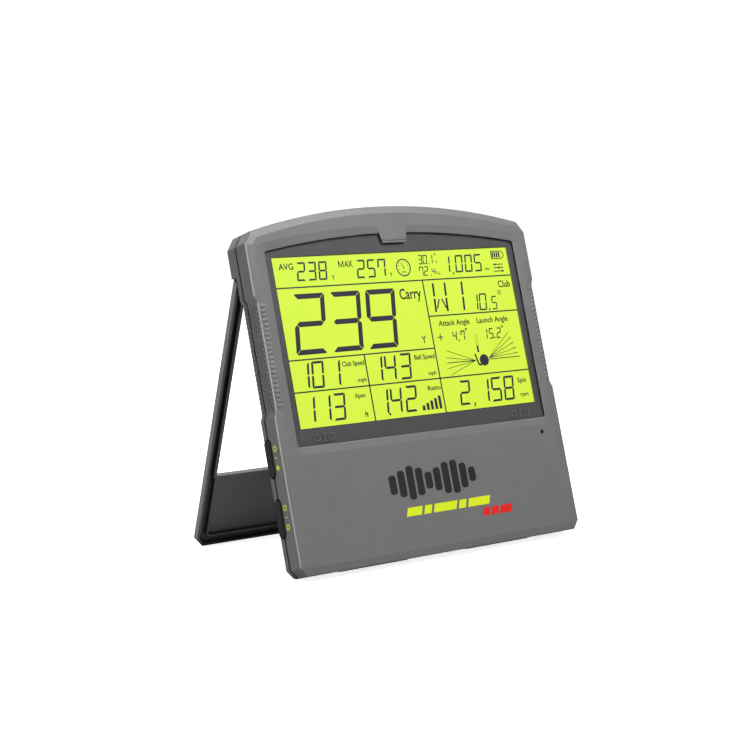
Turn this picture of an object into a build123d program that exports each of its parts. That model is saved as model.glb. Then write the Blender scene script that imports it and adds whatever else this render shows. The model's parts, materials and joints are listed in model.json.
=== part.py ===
from build123d import *
import math
import os

# A portable launch monitor: a thin upright housing with a large display, leaning back on a
# fold-out stand. Millimetres. Every housing part is drawn in the housing's own frame: X across
# to the right, Y from the front face (0) to the rear, Z up the front face from its bottom edge.
# set_up() then leans the whole housing back and puts it on the floor.

# Housing outline
half_width = 85.0
side_top = 154.0
shoulder_x = 80.9
shoulder_z = 159.7
arch_top = 169.75
foot_cut_x = 3.5
foot_cut_z = 4.2
notch_low = 73.1
notch_high = 129.3
notch_ramp = 2.9
notch_depth = 1.3

# Depths
bevel_width = 3.67
bevel_depth = 0.74
edge_round = [(0.5, -0.1), (0.15, 0.15), (0.0, 0.6)]
seam_front = 8.75
seam_rear = 9.9
gasket_inset = 0.12
gasket_width = 1.48
rear_face = 13.0
block_rear = 16.96
block_bottom = 140.84
side_wall = 2.0
front_wall = 3.0
rear_wall = 1.6
cavity_rear = rear_face - rear_wall
block_wall = 1.8

# How it stands
lean = 16.94
opening_angle = 33.87
floor_drop = 0.4
pad_gap = 0.12
base_pad_x = [(-58.0, -18.0), (18.0, 58.0)]
base_pad_y = (10.6, 12.7)
base_pad_top = 1.4
stand_pad_x = [(-62.0, -22.0), (22.0, 62.0)]
stand_pad_y = (14.1, 16.2)

# Display opening
recess_half = 80.1
recess_bottom = 54.3
recess_top = 159.9
recess_arch = 470.0
recess_corner = 5.0
recess_depth = 0.4
lens_half = 75.5
lens_bottom = 58.1
lens_top = 156.25
lens_arch = 428.0
lens_corner = 1.5
lens_front = 0.6
lens_thick = 0.9
lens_overlap = 1.1
mask_thick = 0.1
screen_half = 71.5
screen_low = 66.3
screen_high = 146.7
tab_half_top = 9.35
tab_half_low = 7.0
tab_low = 151.3
tab_step = 1.6

# Display stack behind the lens
glass_half = 74.6
glass_low = 60.5
glass_high = 149.2
glass_front = 1.75
glass_thick = 2.35
film_thick = 0.3
guide_thick = 2.3
bracket_thick = 1.0
bracket_half = 76.0
bracket_low = 58.0
bracket_high = 150.5
diffuser_front = glass_front + glass_thick + 0.05
guide_front = diffuser_front + film_thick
bracket_front = guide_front + guide_thick + 0.05
bracket_rear = bracket_front + bracket_thick
bracket_points = [(-60.0, 53.7), (60.0, 53.7), (-40.0, 158.0), (40.0, 158.0)]
board_front = bracket_rear + 0.45
board_thick = 1.2
board_rear = board_front + board_thick
board_points = [(-66.0, 66.0), (66.0, 66.0), (-66.0, 130.0), (66.0, 130.0)]

# Vent and air sensor
vent_x = 71.4
vent_z = 50.8
vent_radius = 1.2

# Radar, battery and sounder in the lower part
radar_x = (-18.0, 58.0)
radar_z = (6.0, 44.0)
radar_front = 4.8
radar_thick = 1.0
radar_margin = 3.2
battery_x = (-73.5, -25.0)
battery_z = (8.5, 41.5)
battery_y = (3.4, 9.6)
sounder_x = 71.0
sounder_z = 23.0
sounder_radius = 8.5

# Charging inlet in the right wall
inlet_z = 51.0
inlet_length = 9.0
inlet_height = 3.2

# Rocker keys in the left wall
key_centres = {"rocker_upper": 55.25, "rocker_lower": 27.75}
key_length = 17.5
key_width = 4.4
key_depth_centre = 9.9
key_proud = 1.0
key_gap = 0.35
key_end_gap = 0.5
key_opening_depth = 2.9
key_pivot_x = -81.0
key_pin_radius = 0.6
key_reach = 5.8
post_radius = 1.2
switch_board_x = (-77.6, -76.8)
switch_board_z = (14.5, 67.5)
switch_board_y = (4.0, 10.2)

# Shell screws, from the rear into brass inserts
shell_points_right = [(62, 5.2), (79, 71.5), (79, 128), (60, 158)]
shell_points = [(side * x, z) for x, z in shell_points_right for side in (-1, 1)]
boss_radius = 2.6
insert_radius = 1.7
insert_y = (5.0, 9.0)
screw_radius = 1.0
screw_head_radius = 1.9
screw_head = 1.5
screw_seat = 11.2

# Stand, drawn folded flat against the housing
hinge_y = 15.1
hinge_z = 137.62
stand_front = 13.28
stand_length = 136.39
stand_low = hinge_z - stand_length
stand_cut = 4.14
arm_inner = 79.4
rim = 1.4
groove_inner = 81.0
groove_depth = 2.4
groove_top = hinge_z - 4.0
panel_top = hinge_z - 98.2
panel_half = 79.9
panel_low = hinge_z - 131.2
panel_corner = 2.5
lip = 0.8
lip_height = 0.2
rolloff_start = 20.0
rolloff_depth = 1.7
heel_height = 2.5
knuckle_radius = hinge_y - stand_front
pin_radius = 0.8
pin_clearance = 0.05
lug_x = (73.5, 79.1)

os.makedirs("parts", exist_ok=True)


def block(x, y, z):
    """A box from its three (low, high) ranges."""
    size = [high - low for low, high in (x, y, z)]
    centre = [(low + high) / 2 for low, high in (x, y, z)]
    return Pos(*centre) * Box(*size)


def rod(x, z, radius, y0, y1):
    """A cylinder that runs front to rear."""
    return Pos(x, (y0 + y1) / 2, z) * Rot(90, 0, 0) * Cylinder(radius, y1 - y0)


def cross_rod(y, z, radius, x0, x1):
    """A cylinder that runs across, along X."""
    return Pos((x0 + x1) / 2, y, z) * Rot(0, 90, 0) * Cylinder(radius, x1 - x0)


def slab(face, y0, y1):
    """A front-view face given a thickness, from depth y0 to depth y1."""
    return extrude(Plane.XZ.offset(-y0) * face, amount=y0 - y1)


def side_prism(points, x0, x1):
    """A prism along X from (depth, height) corner points."""
    face = make_face(Polyline([(0, y, z) for y, z in points], close=True))
    return extrude(Pos(x0, 0, 0) * face, amount=x1 - x0, dir=(1, 0, 0))


def outline(inset=0.0):
    """The housing's front view, moved inwards by inset: cut corners, grip notches and an arched top."""
    right = [
        (half_width - foot_cut_x, 0),
        (half_width, foot_cut_z),
        (half_width, notch_low),
        (half_width - notch_depth, notch_low + notch_ramp),
        (half_width - notch_depth, notch_high - notch_ramp),
        (half_width, notch_high),
        (half_width, side_top),
        (shoulder_x, shoulder_z),
    ]
    left = [(-x, z) for x, z in reversed(right)]
    arch = ThreePointArc(right[-1], (0, arch_top), left[0])
    face = make_face([*Polyline(*left, *right).edges(), arch])
    return offset(face, -inset, kind=Kind.INTERSECTION) if inset else face


def arched_opening(half, low, top, arch_radius, corner):
    """A display opening: straight sides and bottom, a gently arched top and rounded corners."""
    side = top - arch_radius + math.sqrt(arch_radius**2 - half**2)
    frame = Polyline((half, side), (half, low), (-half, low), (-half, side))
    arch = ThreePointArc((-half, side), (0, top), (half, side))
    face = make_face([*frame.edges(), arch])
    return fillet(face.vertices(), corner) if corner else face


def lens_face(grow=0.0):
    """The lens's visible edge, or an edge that runs outside it by grow."""
    return arched_opening(
        lens_half + grow, lens_bottom - grow, lens_top + grow, lens_arch + grow, lens_corner
    )


def set_up(part):
    """Leans the housing back and stands it on the floor, centred on the origin."""
    return Pos(0, -centre_y, base_z) * Rot(-lean, 0, 0) * part


def open_out(part):
    """Turns the folded stand out to its stop."""
    return Pos(0, hinge_y, hinge_z) * Rot(opening_angle, 0, 0) * Pos(0, -hinge_y, -hinge_z) * part


def above_floor(part, height):
    """Cuts a part that is already set up level, at that height over the floor."""
    return part & block((-200, 200), (-200, 200), (height, 400))


sin_lean = math.sin(math.radians(lean))
cos_lean = math.cos(math.radians(lean))
stand_tilt = math.radians(opening_angle - lean)
base_z = rear_face * sin_lean - floor_drop
hinge_back = hinge_z * sin_lean + hinge_y * cos_lean
stand_back = stand_length * math.sin(stand_tilt) + (block_rear - hinge_y) * math.cos(stand_tilt)
centre_y = (bevel_depth * cos_lean + hinge_back + stand_back) / 2


def key_opening(centre_z):
    """The slot that one rocker key passes through, in both shells."""
    length = key_length + 2 * key_end_gap
    width = key_width + 2 * key_gap
    slot = SlotOverall(length, width)
    place = Pos(-half_width - 2, key_depth_centre, centre_z) * Rot(0, 90, 0)
    return extrude(place * slot, amount=key_opening_depth + 2)


def front_shell():
    levels = [(bevel_width, 0.0)] + [(inset, bevel_depth + step) for inset, step in edge_round]
    faces = [Plane.XZ.offset(-depth) * outline(inset) for inset, depth in levels]
    shell = slab(outline(), levels[-1][1], seam_front)
    for upper, lower in zip(faces, faces[1:]):
        shell += loft([upper, lower], ruled=True)
    shell -= slab(outline(side_wall), front_wall, seam_front + 1)

    recess = arched_opening(recess_half, recess_bottom, recess_top, recess_arch, recess_corner)
    lens_edge = Plane.XZ.offset(-recess_depth) * lens_face()
    shell -= loft([Plane.XZ * recess, lens_edge], ruled=True)
    shell -= slab(lens_face(), recess_depth, lens_front + 0.1)
    shell -= slab(lens_face(lens_overlap), lens_front, front_wall + 0.1)

    tab_top = recess_top + 1
    corners = [
        (-tab_half_top, tab_top),
        (tab_half_top, tab_top),
        (tab_half_low, tab_low),
        (-tab_half_low, tab_low),
    ]
    tab = slab(make_face(Polyline(*corners, close=True)), 0, lens_front)
    step = [
        (-0.1, tab_low - 0.1),
        (-0.1, tab_low + tab_step),
        (0, tab_low + tab_step),
        (0.35, tab_low + 1.0),
        (0.35, tab_low - 0.1),
    ]
    shell += tab - side_prism(step, -tab_half_top, tab_half_top)

    for x, z in shell_points:
        shell += rod(x, z, boss_radius, front_wall, seam_rear - 0.4)
        shell -= rod(x, z, insert_radius, insert_y[0] - 0.6, seam_rear)
    for x, z in bracket_points:
        shell += rod(x, z, 2.0, front_wall, bracket_front)
        shell -= rod(x, z, 0.85, front_wall + 0.6, bracket_front)
    for x, z in radar_points():
        shell += rod(x, z, 2.0, front_wall - 1.2, radar_front)
        shell -= rod(x, z, 0.75, front_wall, radar_front)
    window = block((radar_x[0] + 7, radar_x[1] - 7), (1.9, front_wall), (radar_z[0] + 5, radar_z[1] - 5))
    shell -= window

    for z in (switch_board_z[0] + 0.3, switch_board_z[1] - 0.3):
        shell += block((-78.6, -76.2), (front_wall, seam_front), (z - 1.4, z + 1.4))
    board_x = (switch_board_x[0] - 0.05, switch_board_x[1] + 0.05)
    board_z = (switch_board_z[0] - 0.05, switch_board_z[1] + 0.05)
    shell -= block(board_x, (switch_board_y[0] - 0.05, seam_rear), board_z)
    for z in key_centres.values():
        shell -= key_opening(z)
        shell += rod(key_pivot_x, z, post_radius, front_wall, 8.3)
        shell -= rod(key_pivot_x, z, key_pin_radius, 5.5, 8.3)

    shell -= rod(vent_x, vent_z, vent_radius, -1, front_wall + 1)
    inlet = SlotOverall(inlet_length + 0.3, inlet_height + 0.3)
    place = Pos(half_width + 1, board_front - inlet_height / 2, inlet_z) * Rot(0, 90, 0)
    return shell - extrude(place * inlet, amount=-4)


def radar_points():
    """The radar board's four screws."""
    return [
        (x, z)
        for x in (radar_x[0] + radar_margin, radar_x[1] - radar_margin)
        for z in (radar_z[0] + radar_margin, radar_z[1] - radar_margin)
    ]


def rear_shell():
    face = outline()
    top_zone = block((-100, 100), (0, 30), (block_bottom, 200))
    shell = slab(face, seam_rear, rear_face) + (slab(face, seam_rear, block_rear) & top_zone)
    block_edges = [e for e in shell.edges() if e.center().Y > block_rear - 0.01]
    rear_edges = [e for e in block_edges if e.center().Z > block_bottom + 0.1]
    shell = fillet(rear_edges, 0.6)
    face_edges = [e for e in shell.edges() if abs(e.center().Y - rear_face) < 0.01]
    low_edges = [e for e in face_edges if e.center().Z < block_bottom - 0.1]
    shell = chamfer(low_edges, 0.3)
    shell -= slab(outline(side_wall), seam_rear - 1, cavity_rear)
    upper = block((-100, 100), (0, 30), (block_bottom + block_wall, 200))
    shell -= slab(outline(side_wall), seam_rear - 1, block_rear - block_wall) & upper

    lug = [
        (rear_face - 0.5, block_bottom + 0.5),
        (rear_face - 0.5, hinge_z - 3.4),
        (hinge_y, hinge_z - 1.8),
        (hinge_y + 1.8, hinge_z),
        (hinge_y + 1.8, block_bottom + 0.5),
    ]
    for low, high in (lug_x, (-lug_x[1], -lug_x[0])):
        shell += side_prism(lug, low, high)
        shell -= cross_rod(hinge_y, hinge_z, pin_radius, low - 0.1, high + 0.1)

    for x, z in shell_points:
        deep = z > block_bottom
        rear = block_rear if deep else rear_face
        shell += rod(x, z, 3.2, seam_rear + 0.1, rear - 0.8)
        shell -= rod(x, z, screw_head_radius + 0.2, screw_seat, rear + 1)
        shell -= rod(x, z, screw_radius + 0.15, seam_rear - 1, screw_seat)
    for z in key_centres.values():
        shell += rod(key_pivot_x, z, post_radius, 10.35, cavity_rear)
        shell -= key_opening(z)
        shell -= rod(key_pivot_x, z, key_pin_radius, 10.0, 12.0)

    shell += rod(sounder_x, sounder_z, sounder_radius + 1.0, cavity_rear - 2, cavity_rear)
    shell -= rod(sounder_x, sounder_z, sounder_radius + 0.05, cavity_rear - 3, cavity_rear)
    shell -= rod(sounder_x, sounder_z, 0.7, cavity_rear - 1, rear_face + 1)
    for turn in range(6):
        angle = math.radians(60 * turn)
        hole_x = sounder_x + 3.2 * math.cos(angle)
        hole_z = sounder_z + 3.2 * math.sin(angle)
        shell -= rod(hole_x, hole_z, 0.7, cavity_rear - 1, rear_face + 1)

    for x in base_pad_x:
        shell -= block(x, base_pad_y, (-3, base_pad_top))
    return shell


def base_pads():
    return [block(x, base_pad_y, (-3, base_pad_top)) for x in base_pad_x]


def seam_gasket():
    ring = slab(outline(gasket_inset), seam_front, seam_rear)
    ring -= slab(outline(gasket_inset + gasket_width), seam_front - 1, seam_rear + 1)
    for z in key_centres.values():
        length = key_length + 2 * key_end_gap
        ring -= block((-90, -80), (0, 20), (z - length / 2, z + length / 2))
    return ring


def frame_ring(face, hole, y0, y1):
    return slab(face, y0, y1) - slab(hole, y0 - 1, y1 + 1)


def screen_face(grow):
    """A rectangle that runs outside the screen's lit area by grow."""
    middle = (screen_low + screen_high) / 2
    height = screen_high - screen_low + 2 * grow
    return Pos(0, middle) * Rectangle(2 * (screen_half + grow), height)


def lens_parts():
    lens_rear = lens_front + lens_thick
    lens = slab(lens_face(lens_overlap - 0.15), lens_front, lens_rear)
    mask = frame_ring(lens_face(lens_overlap - 0.2), screen_face(0.3), lens_rear, lens_rear + mask_thick)
    rim_face = lens_face(lens_overlap - 0.2)
    tape = frame_ring(rim_face, screen_face(1.0), lens_rear + mask_thick, glass_front)
    return lens, mask, tape


def display_plate(y0, thick, shrink=0.0):
    """One full-size rectangular layer of the display."""
    x = (-glass_half + shrink, glass_half - shrink)
    return block(x, (y0, y0 + thick), (glass_low + shrink, glass_high - shrink))


def lcd_bracket():
    depth = (bracket_front, bracket_rear)
    plate = block((-bracket_half, bracket_half), depth, (bracket_low, bracket_high))
    for x, z in bracket_points:
        if z < bracket_low:
            plate += block((x - 4, x + 4), depth, (z - 3, bracket_low + 1))
        else:
            plate += block((x - 4, x + 4), depth, (bracket_high - 1, z + 3))
    plate -= block((-32, 32), (0, 20), (bracket_low - 1, bracket_low + 3.4))
    for x in (-36.0, 0.0, 36.0):
        plate -= block((x - 12, x + 12), (0, 20), (84, 126))
    for x, z in board_points:
        plate += rod(x, z, 2.2, bracket_rear, board_front)
        plate -= rod(x, z, 0.8, bracket_front, board_front)
    for x, z in bracket_points:
        plate -= rod(x, z, 1.0, bracket_front - 1, bracket_rear + 1)
    return plate


def screw(x, z, radius, head_radius, seat, tip, head):
    """A cross-head screw driven from the rear, with its head on depth seat and its tip at depth tip."""
    part = rod(x, z, radius, tip, seat) + rod(x, z, head_radius, seat, seat + head)
    for turn in (0, 90):
        arm = Box(head_radius * 1.1, head, head_radius * 0.25)
        part -= Pos(x, seat + head * 1.1, z) * Rot(0, turn, 0) * arm
    return part


def lcd_flex():
    """The display's flat cable, from the glass's bottom edge round to the main board."""
    y_end = board_front
    run = block((-30, 30), (glass_front + 0.6, y_end), (glass_low - 0.2, glass_low))
    return run + block((-30, 30), (y_end - 0.2, y_end), (glass_low - 0.2, 67))


def main_board():
    board = block((-72, 75.8), (board_front, board_rear), (62, 136))
    board += block((63.5, 78), (board_front, board_rear), (45, 65))
    board += block((-34, 34), (board_front, board_rear), (59.8, 62.5))
    for x, z in board_points:
        board -= rod(x, z, 0.95, board_front - 1, board_rear + 1)
    return board


def board_chips():
    """The larger chips and connectors on the main board's rear."""
    places = [
        (-30, 98, 14, 14, 1.2),
        (2, 100, 10, 12, 1.0),
        (28, 90, 8, 6, 0.9),
        (-52, 84, 9, 5, 1.1),
        (-50, 112, 12, 8, 1.2),
        (20, 120, 16, 5, 1.3),
        (60, 92, 5, 14, 1.2),
        (-8, 74, 22, 4, 1.3),
        (46, 74, 7, 7, 1.0),
    ]
    chips = []
    for x, z, wide, tall, thick in places:
        depth = (board_rear, board_rear + thick)
        chips.append(block((x - wide / 2, x + wide / 2), depth, (z - tall / 2, z + tall / 2)))
    return chips


def wireless_module():
    can = block((40, 54), (board_rear + 0.4, board_rear + 1.4), (106, 122))
    return can + block((39, 55), (board_rear, board_rear + 0.4), (105, 127))


def air_sensor():
    half = 1.5
    depth = (board_front - 1, board_front)
    return block((vent_x - half, vent_x + half), depth, (vent_z - half, vent_z + half))


def vent_duct():
    outer = rod(vent_x, vent_z, 2.6, front_wall + 0.2, board_front)
    sensor = block((vent_x - 1.6, vent_x + 1.6), (board_front - 1.05, 20), (vent_z - 1.6, vent_z + 1.6))
    return outer - rod(vent_x, vent_z, vent_radius, 0, 20) - sensor


def radar_board():
    board = block(radar_x, (radar_front, radar_front + radar_thick), radar_z)
    for x, z in radar_points():
        board -= rod(x, z, 0.95, 0, 20)
    return board


def radar_patches():
    """Three columns of patch antennas on the radar board's front: one to send and two to receive."""
    middle = sum(radar_x) / 2
    patches = []
    for column in (-20, 0, 9, 20):
        for row in range(4):
            x = middle + column
            z = radar_z[0] + 9 + row * 6.6
            patches.append(block((x - 2, x + 2), (radar_front - 0.1, radar_front), (z - 1.7, z + 1.7)))
    return patches


def radar_shield():
    rear = radar_front + radar_thick
    x = (radar_x[0] + 12, radar_x[1] - 12)
    z = (radar_z[0] + 4, radar_z[1] - 8)
    wall = 0.4
    can = block(x, (rear, rear + 2.6), z)
    inner_x = (x[0] + wall, x[1] - wall)
    inner_z = (z[0] + wall, z[1] - wall)
    return can - block(inner_x, (rear - 1, rear + 2.6 - wall), inner_z)


def radar_flex():
    """The flat cable that climbs from the radar board to the main board's front."""
    low = radar_front + radar_thick
    high = board_front - 0.2
    path = [
        (low, 37.0),
        (low, 46.0),
        (high, 54.0),
        (high, 61.8),
        (high + 0.2, 61.8),
        (high + 0.2, 53.9),
        (low + 0.2, 45.9),
        (low + 0.2, 37.0),
    ]
    return side_prism(path, 40, 52)


def battery_pack():
    pack = block(battery_x, battery_y, battery_z)
    return fillet(pack.edges().filter_by(Axis.Z), 2.5)


def battery_pads():
    margin = 4
    x = (battery_x[0] + margin, battery_x[1] - margin)
    z = (battery_z[0] + margin, battery_z[1] - margin)
    return [block(x, (front_wall, battery_y[0]), z), block(x, (battery_y[1], cavity_rear), z)]


def sounder():
    disc = rod(sounder_x, sounder_z, sounder_radius, cavity_rear - 3, cavity_rear - 0.3)
    return disc - rod(sounder_x, sounder_z, 1.4, cavity_rear - 1.2, cavity_rear)


def charging_inlet():
    """The metal receptacle: a stadium tube with a tongue, on the main board's right edge."""
    middle_y = board_front - inlet_height / 2
    place = Pos(half_width - 0.6, middle_y, inlet_z) * Rot(0, 90, 0)
    shell = extrude(place * SlotOverall(inlet_length, inlet_height), amount=-7.4)
    shell -= extrude(place * SlotOverall(inlet_length - 0.5, inlet_height - 0.5), amount=-6.4)
    reach = (half_width - 7.6, half_width - 1.4)
    tongue = block(reach, (middle_y - 0.35, middle_y + 0.35), (inlet_z - 3.3, inlet_z + 3.3))
    return shell + tongue


def tact_switches():
    """Two small push switches behind each rocker key, one under each end."""
    switches = []
    for centre in key_centres.values():
        for z in (centre - key_reach, centre + key_reach):
            x = switch_board_x[0]
            y = key_depth_centre - 0.6
            body = block((x - 1.6, x), (y - 1.6, 10.9), (z - 1.75, z + 1.75))
            switches.append(body + cross_rod(y, z, 0.8, x - 2.2, x - 1.5))
    return switches


def rocker_key(centre_z):
    """A key with a rounded outer cap, retaining lips, a hub on its pin and a foot over each switch."""
    inner_x = -82.9
    outer_x = -half_width - key_proud
    place = Pos(outer_x, key_depth_centre, centre_z) * Rot(0, 90, 0)
    cap = extrude(place * SlotOverall(key_length, key_width), amount=inner_x - outer_x)
    rim_edges = [e for e in cap.edges() if abs(e.center().X - outer_x) < 0.01]
    cap = fillet(rim_edges, 0.55)
    for end in (-1, 1):
        lip_z = sorted((centre_z + end * 4.5, centre_z + end * 7.6))
        foot_z = centre_z + end * key_reach
        cap += block((-83.0, -81.6), (key_depth_centre - 1.8, key_depth_centre + 1.5), lip_z)
        cap += block((-82.3, -81.6), (key_depth_centre - 3.0, cavity_rear - 0.3), lip_z)
        cap += cross_rod(key_depth_centre - 0.6, foot_z, 0.9, -82.0, -80.25)
    hub_y = (8.45, 10.2)
    cap += block((-83.0, key_pivot_x), hub_y, (centre_z - 1.3, centre_z + 1.3))
    cap += rod(key_pivot_x, centre_z, 1.3, *hub_y)
    return cap - rod(key_pivot_x, centre_z, key_pin_radius + pin_clearance, 8, 11)


def rocker_pins():
    return [rod(key_pivot_x, z, key_pin_radius, 5.6, 11.9) for z in key_centres.values()]


def hinge_pins():
    pins = []
    for side in (-1, 1):
        ends = sorted((side * lug_x[0], side * 83.6))
        pins.append(cross_rod(hinge_y, hinge_z, pin_radius, *ends))
    return pins


def stand_outline():
    low = stand_low
    top = hinge_z + heel_height
    corners = [
        (-half_width, top),
        (-half_width, low + stand_cut),
        (-half_width + stand_cut, low),
        (half_width - stand_cut, low),
        (half_width, low + stand_cut),
        (half_width, top),
    ]
    return make_face(Polyline(*corners, close=True))


def rounded_panel(half, low, high, corner):
    """A panel with square upper corners and rounded lower ones."""
    frame = make_face(Polyline((-half, high), (-half, low), (half, low), (half, high), close=True))
    lower = [v for v in frame.vertices() if v.Y < low + 0.1]
    return fillet(lower, corner)


def stand_frame():
    """Two channelled arms joined by a lower panel, with an open window between the arms."""
    back = block_rear
    front_low = (stand_front, stand_low)
    front_high = (stand_front, hinge_z)
    knuckle_mid = (hinge_y - knuckle_radius * math.sqrt(0.5), hinge_z + knuckle_radius * math.sqrt(0.5))
    knuckle_top = (hinge_y, hinge_z + knuckle_radius)
    heel = [
        knuckle_top,
        (hinge_y + 0.5, hinge_z + heel_height),
        (back - 0.4, hinge_z + heel_height),
        (back, hinge_z + heel_height - 0.4),
        (back, stand_low),
        front_low,
        front_high,
    ]
    knuckle = ThreePointArc(*[(0, y, z) for y, z in (front_high, knuckle_mid, knuckle_top)])
    side = make_face([knuckle, *Polyline([(0, y, z) for y, z in heel]).edges()])
    body = extrude(Pos(-half_width, 0, 0) * side, amount=2 * half_width, dir=(1, 0, 0))
    body &= slab(stand_outline(), 0, 30)
    body -= block((-arm_inner, arm_inner), (0, 30), (panel_top, 200))

    groove = offset(stand_outline(), -rim, kind=Kind.INTERSECTION)
    groove -= Pos(0, 100 + groove_top) * Rectangle(400, 200)
    groove -= Pos(0, 100 + panel_top - 0.6) * Rectangle(2 * groove_inner, 200)
    groove -= rounded_panel(panel_half, panel_low, panel_top, panel_corner)
    body -= slab(groove, stand_front - 1, stand_front + groove_depth)

    inner = rounded_panel(panel_half - lip, panel_low + lip, panel_top + 1, panel_corner - lip)
    body -= slab(inner, stand_front - 1, stand_front + lip_height)
    face_y = stand_front + lip_height
    start = (0, face_y, rolloff_start)
    middle = (0, face_y + 0.32 * rolloff_depth, (rolloff_start + panel_low) / 2)
    bottom = (0, face_y + rolloff_depth, panel_low)
    fall = ThreePointArc(start, middle, bottom)
    front = Polyline(bottom, (0, stand_front - 1, panel_low), (0, stand_front - 1, rolloff_start), start)
    scoop = Pos(-half_width, 0, 0) * make_face([fall, *front.edges()])
    body -= extrude(scoop, amount=2 * half_width, dir=(1, 0, 0)) & slab(inner, 0, 30)

    for side in (-1, 1):
        ends = sorted((side * (arm_inner - 1), side * 83.9))
        body -= cross_rod(hinge_y, hinge_z, pin_radius + pin_clearance, *ends)
    for x in stand_pad_x:
        body -= block(x, stand_pad_y, (stand_low - 2, stand_low + 0.9))
    rear_edges = [e for e in body.edges() if e.center().Y > back - 0.01 and e.center().Z < hinge_z]
    return chamfer(rear_edges, 0.5)


def stand_pads():
    return [block(x, stand_pad_y, (stand_low - 2, stand_low + 0.9)) for x in stand_pad_x]


def write(name, shape):
    """Writes one node, a single solid or a group of separate ones."""
    solids = shape if isinstance(shape, list) else shape.solids()
    whole = Compound(children=[s for part in solids for s in part.solids()])
    export_step(whole if len(whole.solids()) > 1 else whole.solids()[0], f"parts/{name}.step")


lens, mask, tape = lens_parts()
housing_parts = {
    "front_shell": front_shell(),
    "rear_shell": above_floor(set_up(rear_shell()), pad_gap),
    "seam_gasket": seam_gasket(),
    "display_lens": lens,
    "lens_mask": mask,
    "lens_tape": tape,
    "lcd_glass": display_plate(glass_front, glass_thick),
    "backlight_diffuser": display_plate(diffuser_front, film_thick, 0.4),
    "backlight_guide": display_plate(guide_front, guide_thick, 0.2),
    "lcd_bracket": lcd_bracket(),
    "lcd_flex": lcd_flex(),
    "bracket_screws": [screw(x, z, 0.8, 1.7, bracket_rear, 4.2, 1.1) for x, z in bracket_points],
    "main_board": main_board(),
    "board_screws": [
        screw(x, z, 0.75, 1.6, board_rear, bracket_front + 0.1, 1.0) for x, z in board_points
    ],
    "board_chips": board_chips(),
    "wireless_module": wireless_module(),
    "air_sensor": air_sensor(),
    "vent_duct": vent_duct(),
    "vent_membrane": rod(vent_x, vent_z, 2.4, front_wall, front_wall + 0.2),
    "radar_board": radar_board(),
    "radar_patches": radar_patches(),
    "radar_shield": radar_shield(),
    "radar_flex": radar_flex(),
    "radar_screws": [
        screw(x, z, 0.7, 1.5, radar_front + radar_thick, 3.3, 0.9) for x, z in radar_points()
    ],
    "battery_pack": battery_pack(),
    "battery_pads": battery_pads(),
    "sounder": sounder(),
    "charging_inlet": charging_inlet(),
    "switch_board": block(switch_board_x, switch_board_y, switch_board_z),
    "tact_switches": tact_switches(),
    "rocker_pins": rocker_pins(),
    "thread_inserts": [
        rod(x, z, insert_radius, *insert_y) - rod(x, z, screw_radius, 0, 20) for x, z in shell_points
    ],
    "shell_screws": [
        screw(x, z, screw_radius, screw_head_radius, screw_seat, 5.2, screw_head) for x, z in shell_points
    ],
    "hinge_pins": hinge_pins(),
    "base_pads": [above_floor(set_up(pad), 0) for pad in base_pads()],
    "rocker_upper": rocker_key(key_centres["rocker_upper"]),
    "rocker_lower": rocker_key(key_centres["rocker_lower"]),
    "stand_frame": above_floor(set_up(open_out(stand_frame())), pad_gap),
    "stand_pads": [above_floor(set_up(open_out(pad)), 0) for pad in stand_pads()],
}
already_up = {"rear_shell", "base_pads", "stand_frame", "stand_pads"}

for name, part in housing_parts.items():
    if name in already_up:
        write(name, part)
    elif isinstance(part, list):
        write(name, [set_up(piece) for piece in part])
    else:
        write(name, set_up(part))
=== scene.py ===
import json
import math

import bpy
from mathutils import Matrix, Vector


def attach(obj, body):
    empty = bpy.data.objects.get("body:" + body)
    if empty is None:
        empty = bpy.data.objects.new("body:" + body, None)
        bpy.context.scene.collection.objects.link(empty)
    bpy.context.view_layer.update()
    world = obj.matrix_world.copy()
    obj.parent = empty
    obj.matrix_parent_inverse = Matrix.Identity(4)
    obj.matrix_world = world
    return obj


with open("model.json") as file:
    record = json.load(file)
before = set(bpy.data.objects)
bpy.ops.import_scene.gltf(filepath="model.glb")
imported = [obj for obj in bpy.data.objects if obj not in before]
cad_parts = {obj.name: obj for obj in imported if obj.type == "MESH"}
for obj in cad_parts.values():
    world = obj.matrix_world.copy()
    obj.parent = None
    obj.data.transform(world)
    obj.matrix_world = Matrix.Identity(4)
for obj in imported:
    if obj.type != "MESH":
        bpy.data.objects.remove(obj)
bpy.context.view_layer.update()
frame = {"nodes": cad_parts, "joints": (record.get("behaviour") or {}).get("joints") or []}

# ---------------------------------------------------------------- the housing's own frame
# x across, y up the face, z out of the face, in millimetres. The stand's hinge gives its place
# and a rocker key's axis its lean.
MM = 0.001
HINGE_UP = 137.62
HINGE_DEEP = 15.1
joints = {joint["name"]: joint for joint in frame["joints"]}
key_axis = Vector(joints["upper_key_rock"]["axis"])
across = Vector((1, 0, 0))
up = Vector((0, -key_axis.z, key_axis.y))
out = -key_axis
hinge = Vector(joints["stand_hinge"]["pos_m"])
origin = hinge - up * HINGE_UP * MM + out * HINGE_DEEP * MM
turned = Matrix((across, up, out)).transposed().to_4x4()
HOUSING = Matrix.Translation(origin) @ turned @ Matrix.Scale(MM, 4)
# The same frame turned to draw on the left wall: x is out of the face, z is out of the wall.
LEFT_SIDE = HOUSING @ Matrix(((0, 0, -1, 0), (0, 1, 0, 0), (1, 0, 0, 0), (0, 0, 0, 1)))

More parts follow.
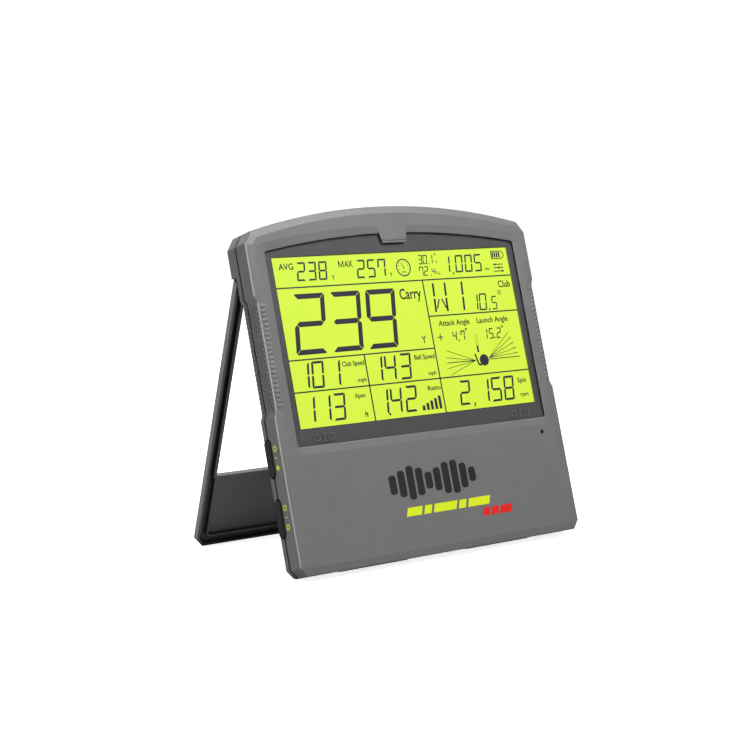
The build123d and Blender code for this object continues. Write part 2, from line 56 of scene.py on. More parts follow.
# ---------------------------------------------------------------- camera
TARGET = Vector((-0.02209, -0.01795, 0.08649))
LOOK = Vector((0.59489, 0.79286, -0.13218)).normalized()
CAMERA_DISTANCE = 0.817
camera_data = bpy.data.cameras.new("camera")
camera_data.sensor_width = 36.0
camera_data.lens = 82.51
camera_data.clip_start = 0.05
camera_data.clip_end = 20.0
camera = bpy.data.objects.new("camera", camera_data)
camera.location = TARGET - LOOK * CAMERA_DISTANCE
camera.rotation_mode = "QUATERNION"
camera.rotation_quaternion = LOOK.to_track_quat("-Z", "Y")
bpy.context.scene.collection.objects.link(camera)
bpy.context.scene.camera = camera
bpy.context.scene.view_settings.view_transform = "Standard"


# ---------------------------------------------------------------- materials
def srgb(level):
    """A linear value from an 8-bit display level."""
    part = level / 255
    return part / 12.92 if part <= 0.04045 else ((part + 0.055) / 1.055) ** 2.4


def grey(level):
    return (srgb(level),) * 3


def tint(red, green, blue):
    return (srgb(red), srgb(green), srgb(blue))


def add_node(tree, kind, values=None, operation=None):
    """A new node, with inputs set by name or number."""
    node = tree.nodes.new(kind)
    if operation:
        node.operation = operation
    for key, value in (values or {}).items():
        node.inputs[key].default_value = value
    return node


def mix_colours(tree, factor, first, second):
    """A colour between two, each of them a fixed colour or a socket."""
    mix = tree.nodes.new("ShaderNodeMix")
    mix.data_type = "RGBA"
    for key, colour in (("A", first), ("B", second)):
        if isinstance(colour, bpy.types.NodeSocket):
            tree.links.new(colour, mix.inputs[key])
        else:
            mix.inputs[key].default_value = (*colour, 1)
    tree.links.new(factor, mix.inputs["Factor"])
    return mix.outputs["Result"]


def worn_and_highlit_edges(tree, paint, colour, soft_normal, slow, wear_and_highlight):
    """Paint rubbed lighter, in patches, where the surface bends; turned up high, the same lightening is a
    painted highlight along the edges.
    """
    surface = tree.nodes.new("ShaderNodeNewGeometry")
    bend = add_node(tree, "ShaderNodeVectorMath", operation="DOT_PRODUCT")
    tree.links.new(soft_normal, bend.inputs[0])
    tree.links.new(surface.outputs["Normal"], bend.inputs[1])
    rubbed_and_highlit = add_node(tree, "ShaderNodeMapRange", {"From Min": 0.97, "From Max": 0.82, "To Max": wear_and_highlight})
    tree.links.new(bend.outputs["Value"], rubbed_and_highlit.inputs["Value"])
    patchy = add_node(tree, "ShaderNodeMath", operation="MULTIPLY")
    tree.links.new(rubbed_and_highlit.outputs["Result"], patchy.inputs[0])
    tree.links.new(slow.outputs["Fac"], patchy.inputs[1])
    bare_and_highlit_colour = [min(1, c * 2.6 + 0.05) for c in colour]
    return mix_colours(tree, patchy.outputs[0], paint, bare_and_highlit_colour)


def painted_crevice_shade(tree, paint, reach):
    """Painted shade: the paint goes nearly black in grooves and seams narrower than the reach, in metres,
    standing in for the shade that falls there.
    """
    open_sky = add_node(tree, "ShaderNodeAmbientOcclusion", {"Distance": reach})
    open_sky.samples = 8
    shade = add_node(tree, "ShaderNodeMapRange", {"From Min": 0.4, "From Max": 0.85, "To Min": 0.06})
    tree.links.new(open_sky.outputs["AO"], shade.inputs["Value"])
    return mix_colours(tree, shade.outputs["Result"], (0.002, 0.002, 0.002), paint)


def finish_of(
    name, colour, rough, metallic=0.0, grain=2600.0, bump=0.25, depth=0.00004, vary=0.08,
    blotch=90.0, wear_and_highlight=0.0, edge=0.00025, coat=0.0, stretch=(1, 1, 1), alpha=1.0, glow=None,
    glow_power=0.0, crevice_shade=0.0,
):
    """Fine grain, slow colour drift, uneven gloss, softened edges, worn edges that can also carry a painted
    highlight, and painted shade in crevices.
    """
    made = bpy.data.materials.new(name)
    made.use_nodes = True
    tree = made.node_tree
    links = tree.links
    shader = tree.nodes["Principled BSDF"]
    shader.inputs["Metallic"].default_value = metallic
    shader.inputs["Coat Weight"].default_value = coat
    shader.inputs["Coat Roughness"].default_value = 0.12
    shader.inputs["Alpha"].default_value = alpha
    if glow:
        shader.inputs["Emission Color"].default_value = (*glow, 1)
        shader.inputs["Emission Strength"].default_value = glow_power

    place = tree.nodes.new("ShaderNodeTexCoord")
    spread = add_node(tree, "ShaderNodeMapping", {"Scale": stretch})
    links.new(place.outputs["Object"], spread.inputs["Vector"])
    fine = add_node(tree, "ShaderNodeTexNoise", {"Scale": grain, "Detail": 3})
    slow = add_node(tree, "ShaderNodeTexNoise", {"Scale": blotch, "Detail": 4})
    for pattern in (fine, slow):
        links.new(spread.outputs["Vector"], pattern.inputs["Vector"])

    slow_share = add_node(tree, "ShaderNodeMath", {1: 0.55}, "MULTIPLY")
    links.new(slow.outputs["Fac"], slow_share.inputs[0])
    mixed = add_node(tree, "ShaderNodeMath", {1: 0.45}, "MULTIPLY_ADD")
    links.new(fine.outputs["Fac"], mixed.inputs[0])
    links.new(slow_share.outputs[0], mixed.inputs[2])
    ramp = tree.nodes.new("ShaderNodeValToRGB")
    darkest, lightest = ramp.color_ramp.elements
    darkest.position = 0.3
    darkest.color = (*[c * (1 - vary) for c in colour], 1)
    lightest.position = 0.7
    lightest.color = (*[min(1, c * (1 + vary)) for c in colour], 1)
    links.new(mixed.outputs[0], ramp.inputs["Fac"])

    gloss = add_node(tree, "ShaderNodeMapRange", {
        "From Min": 0.3, "From Max": 0.7, "To Min": rough * 0.88, "To Max": min(1, rough * 1.12),
    })
    links.new(slow.outputs["Fac"], gloss.inputs["Value"])
    links.new(gloss.outputs["Result"], shader.inputs["Roughness"])
    soft = add_node(tree, "ShaderNodeBevel", {"Radius": edge})
    soft.samples = 4
    relief = add_node(tree, "ShaderNodeBump", {"Strength": bump, "Distance": depth})
    links.new(fine.outputs["Fac"], relief.inputs["Height"])
    links.new(soft.outputs["Normal"], relief.inputs["Normal"])
    links.new(relief.outputs["Normal"], shader.inputs["Normal"])

    paint = ramp.outputs["Color"]
    # Edge wear, which on the grey shell is strong enough to be a painted highlight along its edges.
    if wear_and_highlight:
        paint = worn_and_highlit_edges(tree, paint, colour, soft.outputs["Normal"], slow, wear_and_highlight)
    # Painted shade darkens the colour in grooves and seams.
    if crevice_shade:
        paint = painted_crevice_shade(tree, paint, crevice_shade)
    links.new(paint, shader.inputs["Base Color"])
    return made


LIT = tint(222, 253, 66)
FINISH = {
    # The shell's strong edge lightening is a painted highlight over real wear, and the crevice darkening on
    # the shell and the stand is painted shade.
    "shell": finish_of(
        "satin_grey_plastic", grey(117), 0.42, grain=3000, bump=0.35, vary=0.05, edge=0.0005, wear_and_highlight=0.9,
        crevice_shade=0.0015,
    ),
    "stand": finish_of(
        "satin_charcoal_plastic", grey(142), 0.38, grain=3000, bump=0.35, vary=0.06, wear_and_highlight=0.3, crevice_shade=0.005,
    ),
    "seal_rubber": finish_of("black_silicone", grey(10), 0.7, grain=1800, vary=0.12),
    "key_rubber": finish_of("soft_black_rubber", grey(30), 0.62, grain=5200, bump=0.5, vary=0.1, wear_and_highlight=0.25),
    "foot_rubber": finish_of("foot_rubber", grey(34), 0.75, grain=1500, bump=0.6, vary=0.15),
    "clear_lens": finish_of(
        "hard_coated_window", grey(50), 0.09, grain=300, bump=0.02, depth=0.00001, vary=0.02, blotch=12,
        alpha=0.08,
    ),
    "lens_print": finish_of("dark_border_print", grey(84), 0.5, grain=900, bump=0.1, vary=0.03, blotch=25),
    "lcd": finish_of(
        "lit_display", [c * 0.3 for c in LIT], 0.5, grain=4000, bump=0.05, vary=0.06, blotch=18,
        glow=LIT, glow_power=0.85,
    ),
    "white_film": finish_of("diffusing_film", (0.85, 0.86, 0.84), 0.6, grain=5000),
    "light_guide": finish_of("milky_light_guide", (0.82, 0.9, 0.78), 0.2, grain=1500, vary=0.03),
    "steel": finish_of("brushed_steel", (0.55, 0.55, 0.56), 0.32, metallic=1, stretch=(1, 8, 1), vary=0.1),
    "flex": finish_of("amber_flex", (0.55, 0.32, 0.06), 0.3, coat=0.5, vary=0.12),
    "circuit_board": finish_of("green_solder_mask", (0.02, 0.16, 0.06), 0.3, coat=0.6, vary=0.18, blotch=300),
    "chip": finish_of("moulded_resin", (0.03, 0.03, 0.035), 0.55, vary=0.15),
    "tin_can": finish_of("tin_plate", (0.6, 0.6, 0.6), 0.28, metallic=1, vary=0.06),
    "copper": finish_of("bare_copper", (0.72, 0.42, 0.2), 0.3, metallic=1, vary=0.12),
    "battery_wrap": finish_of("film_wrap", (0.35, 0.36, 0.4), 0.25, coat=0.6, vary=0.05),
    "foam": finish_of("closed_cell_foam", (0.05, 0.05, 0.05), 0.95, grain=1600, bump=0.9, vary=0.3),
    "black_plastic": finish_of("moulded_black", (0.04, 0.04, 0.04), 0.5, vary=0.12),
    "brass": finish_of("knurled_brass", (0.7, 0.52, 0.22), 0.3, metallic=1, stretch=(1, 6, 1), vary=0.1),
    "black_screw": finish_of("black_zinc", (0.05, 0.05, 0.055), 0.34, metallic=0.8, vary=0.2, wear_and_highlight=0.6),
}
INK = finish_of("display_segment", tint(40, 38, 58), 0.55, grain=4000, bump=0.05, vary=0.05)
FINE_INK = finish_of("display_lettering", tint(14, 12, 26), 0.55, grain=4000, bump=0.05, vary=0.05)
LIME = finish_of("lime_print", tint(232, 255, 20), 0.5, grain=5000, bump=0.2, vary=0.08)
RED = finish_of("red_print", tint(248, 18, 10), 0.5, grain=5000, bump=0.2, vary=0.08)
CHARCOAL = finish_of("charcoal_print", grey(25), 0.5, grain=5000, bump=0.2, vary=0.1)
FAINT = finish_of("faint_print", grey(104), 0.5, grain=3000, bump=0.1, vary=0.08)

for node in frame["nodes"].values():
    for index, old in enumerate(list(node.data.materials)):
        node.data.materials[index] = FINISH[old.name.split(".")[0]]


# ---------------------------------------------------------------- shapes
def prism(points, low, high):
    """Vertices and faces of a flat outline raised between two heights."""
    count = len(points)
    verts = [(x, y, z) for z in (low, high) for x, y in points]
    faces = [tuple(reversed(range(count))), tuple(range(count, 2 * count))]
    faces += [(i, (i + 1) % count, count + (i + 1) % count, count + i) for i in range(count)]
    return verts, faces


def ring(x, y, outer, inner, low, high, sides=28):
    """A flat ring, or a disc where inner is zero."""
    turns = [2 * math.pi * i / sides for i in range(sides)]
    if not inner:
        return prism([(x + outer * math.cos(t), y + outer * math.sin(t)) for t in turns], low, high)
    circles = [(radius, z) for z in (low, high) for radius in (outer, inner)]
    verts = [(x + r * math.cos(t), y + r * math.sin(t), z) for r, z in circles for t in turns]
    low_out, low_in, high_out, high_in = [sides * index for index in range(4)]
    faces = []
    for i in range(sides):
        j = (i + 1) % sides
        faces += [
            (low_out + i, low_out + j, high_out + j, high_out + i),
            (low_in + j, low_in + i, high_in + i, high_in + j),
            (high_out + i, high_out + j, high_in + j, high_in + i),
            (low_out + j, low_out + i, low_in + i, low_in + j),
        ]
    return verts, faces


def stroke(start, end, width, low, high, end_width=None):
    """A straight bar between two points, tapering if end_width is given."""
    a = Vector(start)
    b = Vector(end)
    side = Vector((a.y - b.y, b.x - a.x)).normalized() / 2
    far_side = side * (width if end_width is None else end_width)
    near_side = side * width
    corners = [a - near_side, b - far_side, b + far_side, a + near_side]
    return prism([tuple(corner) for corner in corners], low, high)


def bar(left, wide, base, tall, lean, low, high):
    """An upright or leaning bar with a level base and top."""
    right = left + wide
    top = base + tall
    points = [(left, base), (right, base), (right + lean, top), (left + lean, top)]
    return prism(points, low, high)


def piece(name, parts, matrix, material, body="housing"):
    """One mesh object from many parts, placed in the row frame and riding on a body."""
    verts = []
    faces = []
    for part_verts, part_faces in parts:
        start = len(verts)
        verts += [tuple(matrix @ Vector(v)) for v in part_verts]
        faces += [tuple(start + i for i in face) for face in part_faces]
    mesh = bpy.data.meshes.new(name)
    mesh.from_pydata(verts, [], faces)
    mesh.validate()
    mesh.update()
    mesh.materials.append(material)
    made = bpy.data.objects.new(name, mesh)
    bpy.context.scene.collection.objects.link(made)
    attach(made, body)


FONT_CAPITAL = 0.73
FONT_SWELL = 0.014


def lettering(text, left, base, width, cap, low, high):
    """Flat lettering fitted to a width and a capital's height."""
    curve = bpy.data.curves.new("letters", "FONT")
    curve.body = text
    curve.resolution_u = 3
    curve.extrude = 0.5
    curve.offset = FONT_SWELL
    holder = bpy.data.objects.new("letters", curve)
    bpy.context.scene.collection.objects.link(holder)
    bpy.context.view_layer.update()
    shaped = holder.evaluated_get(bpy.context.evaluated_depsgraph_get())
    mesh = bpy.data.meshes.new_from_object(shaped)
    xs = [v.co.x for v in mesh.vertices]
    wide = width / (max(xs) - min(xs))
    tall = cap / FONT_CAPITAL
    middle = (low + high) / 2
    thick = high - low
    verts = [
        (left + (v.co.x - min(xs)) * wide, base + v.co.y * tall, middle + v.co.z * thick)
        for v in mesh.vertices
    ]
    faces = [tuple(p.vertices) for p in mesh.polygons]
    bpy.data.objects.remove(holder)
    bpy.data.curves.remove(curve)
    bpy.data.meshes.remove(mesh)
    return verts, faces


# ---------------------------------------------------------------- display picture
# Thin shapes lying on the display glass. All lengths are in millimetres in the housing's frame.
GLASS = -1.75
INK_TOP = -1.69


def ink_line(start, end, width, end_width=None):
    return stroke(start, end, width, GLASS, INK_TOP, end_width)


def ink_dot(x, y, radius, inner=0.0):
    return ring(x, y, radius, inner, GLASS, INK_TOP)


def ink_text(text, left, base, width, cap):
    return lettering(text, left, base, width, cap, GLASS, INK_TOP)


# Seven-segment digits: a is the top segment, then clockwise to f, and g is the middle one.
SLANT = 0.125
SEGMENTS = {
    "0": "abcdef", "1": "bc", "2": "abged", "3": "abgcd", "4": "fgbc",
    "5": "afgcd", "7": "fabc", "8": "abcdefg", "9": "abcdfg",
}


def segment_outline(kind, width, height, thick, gap):
    """One segment of a seven-segment digit, upright, with mitred ends."""
    nick = thick * 0.35
    mid = height / 2
    half = thick / 2
    if kind in "ad":
        shape = [
            (nick + gap, height), (width - nick - gap, height),
            (width - nick / 2 - gap, height - nick / 2), (width - thick - gap, height - thick),
            (thick + gap, height - thick), (nick / 2 + gap, height - nick / 2),
        ]
    elif kind == "g":
        shape = [
            (half + gap, mid), (thick + gap, mid + half), (width - thick - gap, mid + half),
            (width - half - gap, mid), (width - thick - gap, mid - half), (thick + gap, mid - half),
        ]
    else:
        shape = [
            (width - nick / 2, height - nick / 2 - gap), (width, height - nick - gap),
            (width, mid + half + gap), (width - half, mid + gap),
            (width - thick, mid + half + gap), (width - thick, height - thick - gap),
        ]
    if kind in "fe":
        shape = [(width - x, y) for x, y in shape]
    if kind in "dce":
        shape = [(x, height - y) for x, y in shape]
    return shape


def digit(mark, left, base, width, height, thick, gap):
    parts = []
    for kind in SEGMENTS[mark]:
        shape = segment_outline(kind, width, height, thick, gap)
        parts.append(prism([(left + x + SLANT * y, base + y) for x, y in shape], GLASS, INK_TOP))
    return parts


# Digits, the left edge of each, then their base, width, height, stroke and gap between segments.
READINGS = [
    ("239", (-66.6, -45.85, -25.1), 100.4, 17.6, 28.7, 2.45, 0.17),
    ("238", (-59.1, -52.95, -46.8), 135.1, 4.8, 9.0, 0.88, 0.08),
    ("257", (-24.6, -18.4, -12.2), 134.9, 4.8, 9.0, 0.88, 0.08),
    ("1005", (27.9, 36.1, 42.25, 48.3), 135.0, 4.8, 8.9, 0.86, 0.08),
    ("301", (13.4, 16.4, 19.9), 140.1, 2.6, 4.7, 0.5, 0.04),
    ("72", (12.9, 15.9), 134.2, 2.6, 4.8, 0.5, 0.04),
    ("4", (20.8,), 134.5, 2.2, 3.5, 0.45, 0.04),
    ("10", (41.4, 47.0), 115.1, 4.8, 8.6, 0.78, 0.08),
    ("5", (55.1,), 115.1, 3.5, 6.9, 0.62, 0.08),
    ("47", (26.3, 31.4), 100.8, 2.7, 5.0, 0.6, 0.04),
    ("152", (45.9, 49.8, 54.7), 100.4, 2.8, 5.4, 0.6, 0.04),
    ("101", (-69.2, -61.0, -51.6), 84.4, 6.9, 12.7, 1.12, 0.1),
    ("143", (-26.9, -18.9, -9.8), 84.4, 6.9, 12.7, 1.12, 0.1),
    ("113", (-69.2, -60.4, -52.1), 68.5, 6.9, 12.7, 1.12, 0.1),
    ("142", (-26.9, -18.9, -9.8), 68.5, 6.9, 12.7, 1.12, 0.1),
    ("2158", (23.9, 36.1, 44.2, 52.4), 68.8, 6.6, 12.2, 1.1, 0.1),
]
digits = []
for reading, lefts, *sizes in READINGS:
    for mark, left in zip(reading, lefts):
        digits += digit(mark, left, *sizes)
piece("display_digits", digits, HOUSING, INK)

# Commas, decimal points, degree signs, the per cent sign and the plus sign.
marks = [
    ink_line((34.8, 135.2), (34.2, 134.1), 0.6),
    ink_line((33.2, 69.6), (32.6, 67.6), 0.75),
    ink_dot(20.2, 140.2, 0.32),
    ink_dot(20.2, 134.4, 0.32),
    ink_dot(53.5, 115.4, 0.5),
    ink_dot(30.3, 100.9, 0.4),
    ink_dot(53.6, 100.8, 0.4),
    ink_dot(-19.6, 68.6, 0.6),
    ink_dot(24.7, 144.9, 0.5, 0.2),
    ink_dot(24.9, 141.0, 0.45, 0.2),
    ink_dot(61.65, 123.65, 1.05, 0.65),
    ink_dot(35.75, 106.25, 0.65, 0.25),
    ink_dot(59.25, 106.15, 0.65, 0.25),
    ink_dot(24.1, 135.9, 0.4, 0.15),
    ink_dot(25.7, 134.8, 0.4, 0.15),
    ink_line((24.2, 134.6), (25.6, 136.1), 0.25),
    ink_line((17.25, 103.35), (20.75, 103.35), 0.5),
    ink_line((19.0, 101.6), (19.0, 105.1), 0.5),
]

# The club's letter and number: three uprights in two halves, and the letter's two legs.
UPRIGHT_STROKE = 1.15
CLUB_UPPER = (130.3, 123.7)
CLUB_LOWER = (122.6, 115.9)
for top, foot in ((20.15, 19.75), (27.6, 27.1), (38.4, 37.85)):
    marks.append(ink_line((top, CLUB_UPPER[0]), (foot, CLUB_UPPER[1]), UPRIGHT_STROKE))
for top, foot in ((19.65, 19.15), (27.0, 26.6), (37.75, 37.2)):
    marks.append(ink_line((top, CLUB_LOWER[0]), (foot, CLUB_LOWER[1]), UPRIGHT_STROKE))
marks.append(ink_line((22.4, 122.3), (20.4, 117.6), 0.75))
marks.append(ink_line((24.1, 122.3), (26.1, 117.4), 0.75))

# Signal bars beside the ratio.
for index in range(5):
    marks.append(bar(0.3 + 2.58 * index, 1.6, 68.5, 2.4 + 1.0 * index, 0, GLASS, INK_TOP))

# Battery gauge.
CELL_LOW = 141.1
CELL_HIGH = 144.9
CELL_LEFT = 60.8
CELL_RIGHT = 67.4
TIP_RIGHT = 69.0
TIP_LOW = 142.4
TIP_HIGH = 143.6
for start, end in (
    ((CELL_LEFT, CELL_LOW), (CELL_RIGHT, CELL_LOW)),
    ((CELL_LEFT, CELL_HIGH), (CELL_RIGHT, CELL_HIGH)),
    ((CELL_LEFT + 0.1, CELL_LOW), (CELL_LEFT + 0.1, CELL_HIGH)),
    ((CELL_RIGHT, CELL_LOW), (TIP_RIGHT, TIP_LOW)),
    ((CELL_RIGHT, CELL_HIGH), (TIP_RIGHT, TIP_HIGH)),
    ((TIP_RIGHT, TIP_LOW), (TIP_RIGHT, TIP_HIGH)),
):
    marks.append(ink_line(start, end, 0.42))
for index in range(4):
    left = 61.7 + 1.4 * index
    marks.append(ink_line((left, 141.7), (left + 0.25, 144.4), 0.95))

# Three arrows: the height of each, where its head is, and which way it points.
for height, head, way in ((138.1, 61.9, -1), (136.35, 64.9, 1), (134.6, 67.0, 1)):
    marks.append(ink_line((61.0, height), (67.5, height), 0.45))
    marks.append(ink_line((head - way * 0.8, height), (head + way * 0.6, height), 1.5, 0.1))

# Pressure gauge: a ring, seven ticks and a needle.
DIAL = Vector((4.0, 139.0))
marks.append(ink_dot(DIAL.x, DIAL.y, 4.45, 3.85))
for index in range(7):
    turn = math.radians(-15 + 35 * index)
    way = Vector((math.cos(turn), math.sin(turn)))
    marks.append(ink_line(DIAL + way * 2.6, DIAL + way * 3.2, 0.3))
marks.append(ink_line((4.5, 138.4), (2.9, 141.2), 0.5, 0.2))
marks.append(ink_text("hPa", 2.7, 136.3, 2.6, 1.0))
piece("display_marks", marks, HOUSING, INK)

# Rules between the cells, and the frame round them.
SCREEN_SIDE = 71.6
COLUMN = 14.1
FRAME_LOW = 66.2
FRAME_HIGH = 146.8
RULE = 0.65
UPRIGHT_RULE = 0.7
rules = [
    ink_line((-SCREEN_SIDE, 132.2), (SCREEN_SIDE, 132.2), RULE),
    ink_line((COLUMN, 132.2), (COLUMN, FRAME_LOW), UPRIGHT_RULE),
    ink_line((COLUMN, 114.0), (SCREEN_SIDE, 114.0), RULE),
    ink_line((-SCREEN_SIDE, 98.2), (COLUMN, 98.2), RULE),
    ink_line((-SCREEN_SIDE, 83.2), (SCREEN_SIDE, 83.2), RULE),
    ink_line((-28.7, 98.2), (-28.7, FRAME_LOW), UPRIGHT_RULE),
]
for side in (-SCREEN_SIDE, SCREEN_SIDE):
    rules.append(ink_line((side, FRAME_LOW - 0.2), (side, FRAME_HIGH + 0.2), 0.4))
for height in (FRAME_LOW, FRAME_HIGH):
    rules.append(ink_line((-SCREEN_SIDE - 0.2, height), (SCREEN_SIDE + 0.2, height), 0.4))
piece("display_rules", rules, HOUSING, INK)

# Swing drawing: ball, club and shaft, with path lines before and after the ball.
FINE_LINE = 0.28
LEVEL_LINE = 0.42
BALL_LEVEL = 90.25
SHAFT_LINE = 0.16
swing = [
    ink_dot(43.95, 90.1, 2.9),
    ink_line((41.1, 97.6), (41.1, 94.2), 1.15),
    ink_line((38.6, 93.6), (40.0, 88.3), 0.9),
    ink_line((39.8, 88.2), (41.9, 87.8), 1.0),
    ink_line((40.7, 103.0), (40.7, 97.8), SHAFT_LINE),
    ink_line((42.0, 103.0), (42.0, 97.8), SHAFT_LINE),
    ink_line((40.7, 103.0), (42.0, 103.0), SHAFT_LINE),
]
for far in ((21.1, 96.4), (20.35, 92.9), (20.25, BALL_LEVEL), (20.25, 87.5), (21.25, 84.1)):
    width = LEVEL_LINE if far[1] == BALL_LEVEL else FINE_LINE
    swing.append(ink_line((38.4, BALL_LEVEL), far, width))
flights = ((62.25, 102.75), (64.0, 100.5), (65.0, 97.75), (66.0, 95.0), (66.5, 92.3))
for far in flights:
    start = Vector((47.25, 90.9))
    way = (Vector(far) - start).normalized()
    swing.append(ink_line(start, far, FINE_LINE))
    if far != flights[0]:
        swing.append(ink_line(Vector(far) - way * 1.6, far, 0.6, 0.1))
swing.append(ink_line((47.25, BALL_LEVEL), (67.5, BALL_LEVEL), LEVEL_LINE))
piece("display_swing", swing, HOUSING, INK)

# Labels: text, left edge, base line, width and height of a capital.
LABELS = [
    ("AVG", -68.3, 140.8, 8.2, 3.1),
    ("AX", -30.9, 140.7, 4.9, 3.1),
    ("Y", -39.3, 135.0, 1.7, 2.2),
    ("Y", -5.1, 134.8, 1.7, 2.2),
    ("hPa", 55.2, 135.5, 3.2, 1.2),
    ("Carry", -1.4, 123.4, 13.2, 5.4),
    ("Y", 7.3, 101.1, 2.6, 3.7),
    ("Club", 61.9, 126.25, 7.9, 3.6),
    ("Attack Angle", 19.3, 108.8, 19.6, 2.9),
    ("Launch Angle", 43.6, 108.8, 20.4, 2.9),
    ("Club Speed", -42.3, 93.4, 12.9, 2.4),
    ("mph", -34.8, 85.4, 5.0, 2.1),
    ("Ball Speed", 0.7, 93.4, 12.5, 2.4),
    ("mph", 7.6, 85.3, 4.8, 2.1),
    ("Apex", -38.2, 78.0, 6.2, 2.3),
    ("ft", -34.2, 68.8, 2.1, 2.6),
    ("Ratio", 5.4, 77.9, 8.0, 2.3),
    ("Spin", 62.9, 77.0, 5.6, 2.5),
    ("rpm", 63.3, 70.0, 5.2, 2.2),
]
words = [ink_text(*label) for label in LABELS]
# The M of MAX, in straight strokes.
corners = [(-34.1, 140.7), (-34.1, 143.8), (-32.8, 140.9), (-31.5, 143.8), (-31.5, 140.7)]
words += [ink_line(start, end, 0.42) for start, end in zip(corners, corners[1:])]
piece("display_words", words, HOUSING, FINE_INK)

# ---------------------------------------------------------------- printed marks on the housing
FACE_PRINT = (-0.005, 0.03)
LENS_PRINT = (-0.605, -0.57)
KEY_PRINT = (84.995, 85.03)


def cut_corner_bar(left, wide, middle, tall, cut, low, high):
    """An upright bar with its four corners cut off."""
    right = left + wide
    foot = middle - tall / 2
    top = middle + tall / 2
    points = [
        (left, foot + cut), (left + cut, foot), (right - cut, foot), (right, foot + cut),
        (right, top - cut), (right - cut, top), (left + cut, top), (left, top - cut),
    ]
    return prism(points, low, high)


BAR_HEIGHTS = [9.0, 12.5, 16.0, 13.0, 8.0, 11.0, 15.0, 16.0, 12.0, 7.0]
emblem = [
    cut_corner_bar(-28.7 + 5.35 * index, 4.2, 35.0, tall, 0.9, *FACE_PRINT)
    for index, tall in enumerate(BAR_HEIGHTS)
]
piece("front_mark_bars", emblem, HOUSING, CHARCOAL)
stripe = [
    bar(left, wide, 19.4, 4.1, 1.5, *FACE_PRINT)
    for left, wide in ((-22.0, 9.0), (-11.6, 4.4), (-5.8, 14.0), (9.6, 4.4), (15.4, 13.4))
]
piece("front_mark_lime", stripe, HOUSING, LIME)
dashes = [
    bar(left, wide, 14.0, 3.9, 1.4, *FACE_PRINT)
    for left, wide in ((23.7, 4.2), (29.1, 4.2), (34.5, 7.4))
]
piece("front_mark_red", dashes, HOUSING, RED)

symbols = []
for centre in (-59.7, 59.9):
    for shift in (-4.1, 4.1):
        symbols.append(ring(centre + shift, 61.6, 1.65, 1.3, *LENS_PRINT))
    symbols.append(stroke((centre, 59.9), (centre, 63.3), 0.35, *LENS_PRINT))
    for height in (59.9, 63.3):
        symbols.append(stroke((centre - 1.0, height), (centre + 1.0, height), 0.3, *LENS_PRINT))
piece("lens_corner_symbols", symbols, HOUSING, FAINT)

# Rings, one filled dot and two dashes beside the rocker keys.
SIGN_DEPTH = -4.9
signs = []
for height, outer, inner in ((59.4, 1.45, 0.75), (50.6, 1.2, 0.0), (32.4, 1.45, 0.75), (23.5, 1.45, 0.75)):
    signs.append(ring(SIGN_DEPTH, height, outer, inner, *KEY_PRINT))
for height in (55.2, 28.0):
    signs.append(stroke((SIGN_DEPTH - 0.8, height), (SIGN_DEPTH + 0.8, height), 0.5, *KEY_PRINT))
piece("key_signs", signs, LEFT_SIDE, LIME)

# ---------------------------------------------------------------- grip scales
GRIP_LOW = 77.0
GRIP_HIGH = 125.6
GRIP_FACE = 83.7
PITCH = 2.2
TILE_LIFT = 0.34
TOOTH_LIFT = 0.13
TOOTH_LENGTH = 3.4
TOOTH_INSET = 2.2
BEVEL_WIDTH = 3.67
BEVEL_DEPTH = 0.74
SUNK = -0.05
HEXAGON = [(0.5, 0.0), (0.28, 0.5), (-0.28, 0.5), (-0.5, 0.0), (-0.28, -0.5), (0.28, -0.5)]


def scale_tile(centre, along, side, normal, length, width, lift):
    """A low six-sided tile with sloping flanks and its foot sunk in the wall."""
    verts = []
    for share, level in ((1.0, SUNK), (0.56, lift)):
        for a, b in HEXAGON:
            flat = along * a * length * share + side * b * width * share
            verts.append(tuple(centre + flat + normal * level))
    faces = [tuple(reversed(range(6))), tuple(range(6, 12))]
    faces += [(i, (i + 1) % 6, 6 + (i + 1) % 6, 6 + i) for i in range(6)]
    return verts, faces


def wall_tiles(sign, columns, first, step):
    """Staggered columns of tiles on a side wall, from the first depth inwards."""
    normal = Vector((sign, 0, 0))
    deep = Vector((0, 0, -1))
    rise = Vector((0, 1, 0))
    tiles = []
    for column in range(columns):
        stagger = 0.5 if column % 2 == 0 else 0.0
        for row in range(rows + column % 2):
            height = GRIP_LOW + PITCH * (row + stagger)
            centre = Vector((sign * GRIP_FACE, height, 0)) + deep * (first + step * column)
            tiles.append(scale_tile(centre, rise, deep * sign, normal, PITCH * 1.12, step * 1.08, TILE_LIFT))
    return tiles


def bevel_teeth(sign):
    """A row of longer tiles on the face's bevel, beside the grip."""
    face = Vector((sign * BEVEL_DEPTH, 0, BEVEL_WIDTH)).normalized()
    run = Vector((face.z, 0, -face.x))
    drop = BEVEL_DEPTH * (BEVEL_WIDTH - TOOTH_INSET) / BEVEL_WIDTH
    teeth = []
    for row in range(rows):
        centre = Vector((sign * (GRIP_FACE - TOOTH_INSET), GRIP_LOW + PITCH * (row + 0.5), -drop))
        teeth.append(scale_tile(centre, run, Vector((0, 1, 0)), face, TOOTH_LENGTH, PITCH * 0.9, TOOTH_LIFT))
    return teeth


rows = int((GRIP_HIGH - GRIP_LOW) / PITCH)
for side_name, sign in (("left", -1), ("right", 1)):
    for shell_name, columns, first, step in (("front", 4, 2.35, 1.85), ("rear", 2, 10.5, 1.45)):
        tiles = wall_tiles(sign, columns, first, step)
        piece(f"grip_{shell_name}_{side_name}", tiles, HOUSING, FINISH["shell"])
    piece(f"grip_teeth_{side_name}", bevel_teeth(sign), HOUSING, FINISH["shell"])

# ---------------------------------------------------------------- floor and light
WHITE = (1, 1, 1, 1)
FLOOR_HALF = 6.0
FLOOR_DROP = 0.0001


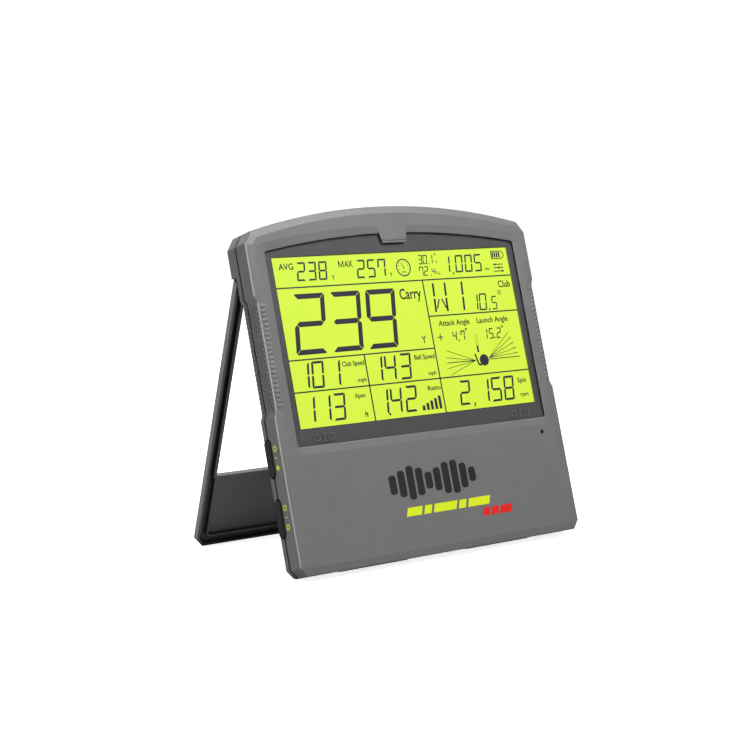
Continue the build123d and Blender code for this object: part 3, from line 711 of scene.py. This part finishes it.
def seen_or_lit(tree, lit, seen, target):
    """What the camera sees is one shader, and what lights the object is another."""
    sight = tree.nodes.new("ShaderNodeLightPath")
    split = tree.nodes.new("ShaderNodeMixShader")
    tree.links.new(sight.outputs["Is Camera Ray"], split.inputs["Fac"])
    tree.links.new(lit.outputs[0], split.inputs[1])
    tree.links.new(seen.outputs[0], split.inputs[2])
    tree.links.new(split.outputs[0], target.inputs["Surface"])


floor_mesh = bpy.data.meshes.new("floor")
floor_corners = [(x * FLOOR_HALF, y * FLOOR_HALF, 0) for x, y in ((-1, -1), (1, -1), (1, 1), (-1, 1))]
floor_mesh.from_pydata(floor_corners, [], [(0, 1, 2, 3)])
floor = bpy.data.objects.new("floor", floor_mesh)
bpy.context.scene.collection.objects.link(floor)
floor.location.z = -FLOOR_DROP
pale = bpy.data.materials.new("pale_floor")
pale.use_nodes = True
paper = pale.node_tree.nodes["Principled BSDF"]
paper.inputs["Base Color"].default_value = (0.9, 0.9, 0.9, 1)
paper.inputs["Roughness"].default_value = 0.9
paper.inputs["Emission Color"].default_value = WHITE
paper.inputs["Emission Strength"].default_value = 0.85
bounce = add_node(pale.node_tree, "ShaderNodeBsdfDiffuse", {"Color": (0.4, 0.4, 0.4, 1)})
seen_or_lit(pale.node_tree, bounce, paper, pale.node_tree.nodes["Material Output"])
floor_mesh.materials.append(pale)

world = bpy.data.worlds.new("studio")
bpy.context.scene.world = world
world.use_nodes = True
air = world.node_tree
room = air.nodes["Background"]
room.inputs["Color"].default_value = WHITE
room.inputs["Strength"].default_value = 0.26
backdrop = add_node(air, "ShaderNodeBackground", {"Color": WHITE, "Strength": 1.1})
seen_or_lit(air, room, backdrop, air.nodes["World Output"])


def softbox(name, place, aim, width, height, power, gloss_only=False, spread=180):
    data = bpy.data.lights.new(name, "AREA")
    data.shape = "RECTANGLE"
    data.size = width
    data.size_y = height
    data.energy = power
    data.spread = math.radians(spread)
    light = bpy.data.objects.new(name, data)
    light.location = place
    light.rotation_mode = "QUATERNION"
    light.rotation_quaternion = (Vector(aim) - Vector(place)).to_track_quat("-Z", "Y")
    light.visible_diffuse = not gloss_only
    light.visible_camera = False
    bpy.context.scene.collection.objects.link(light)
    return light


MIDDLE = (0, 0, 0.1)
softbox("key_box", (0.14, -0.34, 0.62), (0, -0.01, 0.2), 0.5, 0.3, 1.37, spread=100)
softbox("top_box", (0.0, 0.15, 0.9), MIDDLE, 0.7, 0.5, 2.2)
softbox("side_box", (-0.9, 0.1, 0.55), MIDDLE, 0.5, 0.5, 2.8)
softbox("back_box", (0.3, 1.0, 0.7), MIDDLE, 0.8, 0.6, 3.0)

# A narrow light that only draws the glint along the front shell's edge.
edge_strip = softbox("edge_strip", (-0.8, -0.54, 0.36), MIDDLE, 0.1, 0.5, 24.0, gloss_only=True)
edges = bpy.data.collections.new("edge_strip_reach")
edges.objects.link(frame["nodes"]["front_shell"])
edge_strip.light_linking.receiver_collection = edges
